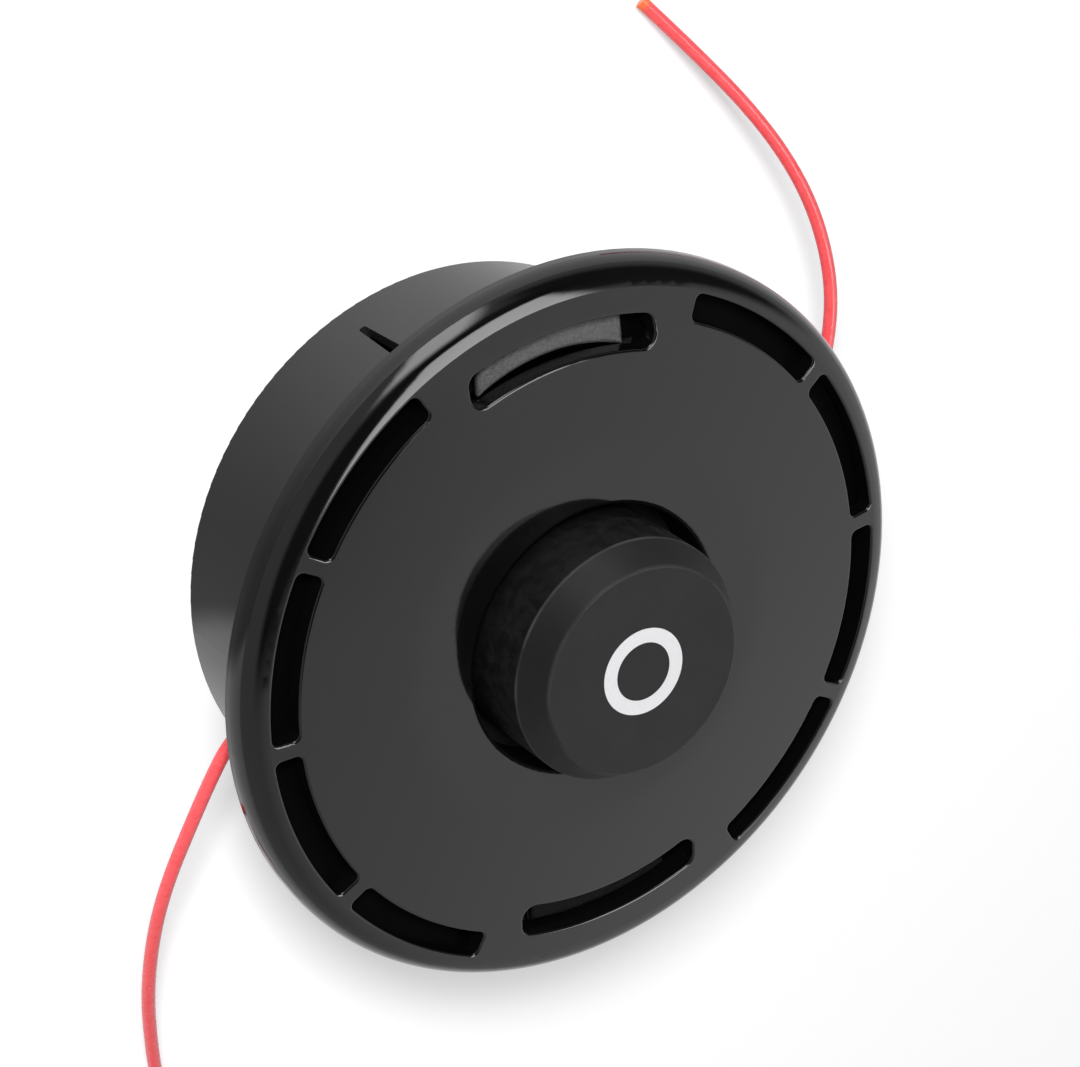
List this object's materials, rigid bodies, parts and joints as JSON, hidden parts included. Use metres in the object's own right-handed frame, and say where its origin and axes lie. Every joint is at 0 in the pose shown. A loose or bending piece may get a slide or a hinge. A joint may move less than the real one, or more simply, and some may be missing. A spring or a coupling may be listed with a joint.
{
  "type": "trimmer head",
  "caption": "Bump-feed line head for a grass trimmer: a latched drum and domed slotted cover hold a sprung line spool, with a tap knob and line tails leaving through eyelets.",
  "frame": {"origin": "centre of the drum's back face, where the machine's shaft enters", "axes": "+Z along the shaft towards the tap knob, latches on +Y and -Y, line eyelets near +X and -X"},
  "size_m": [0.146, 0.1801, 0.0621],
  "materials": {
    "drum_plastic": "satin black moulded nylon",
    "cover_plastic": "polished black moulded nylon",
    "knob_plastic": "black moulded nylon, flow marks on the barrel",
    "spool_plastic": "dull black moulded nylon",
    "spring_steel": "drawn spring wire",
    "washer_steel": "plain stamped steel",
    "nut_steel": "zinc plated steel",
    "eyelet_metal": "turned aluminium",
    "cutting_line": "translucent coral red nylon line"
  },
  "bodies": {
    "housing": {"drum_housing": "drum_plastic", "base_cover": "cover_plastic", "arbor_nut": "nut_steel", "line_eyelet_right": "eyelet_metal", "line_eyelet_left": "eyelet_metal", "return_spring": "spring_steel", "line_tail_right": "cutting_line", "line_tail_left": "cutting_line"},
    "bump_carriage": {"thrust_washer": "washer_steel"},
    "spool": {"line_spool": "spool_plastic", "bump_knob": "knob_plastic", "line_winding_rear": "cutting_line", "line_winding_front": "cutting_line"}
  },
  "joints": [
    {"name": "knob_bump", "type": "slide", "parent": "housing", "child": "bump_carriage", "axis": [0, 0, -1], "range_m": [0, 0.007], "stiffness_N_per_m": 1500, "springref_m": -0.008, "deforming": ["return_spring"]},
    {"name": "spool_turn", "type": "hinge", "parent": "bump_carriage", "child": "spool", "pos_m": [0, 0, 0.03], "axis": [0, 0, 1], "range_deg": [-35, 0]}
  ]
}
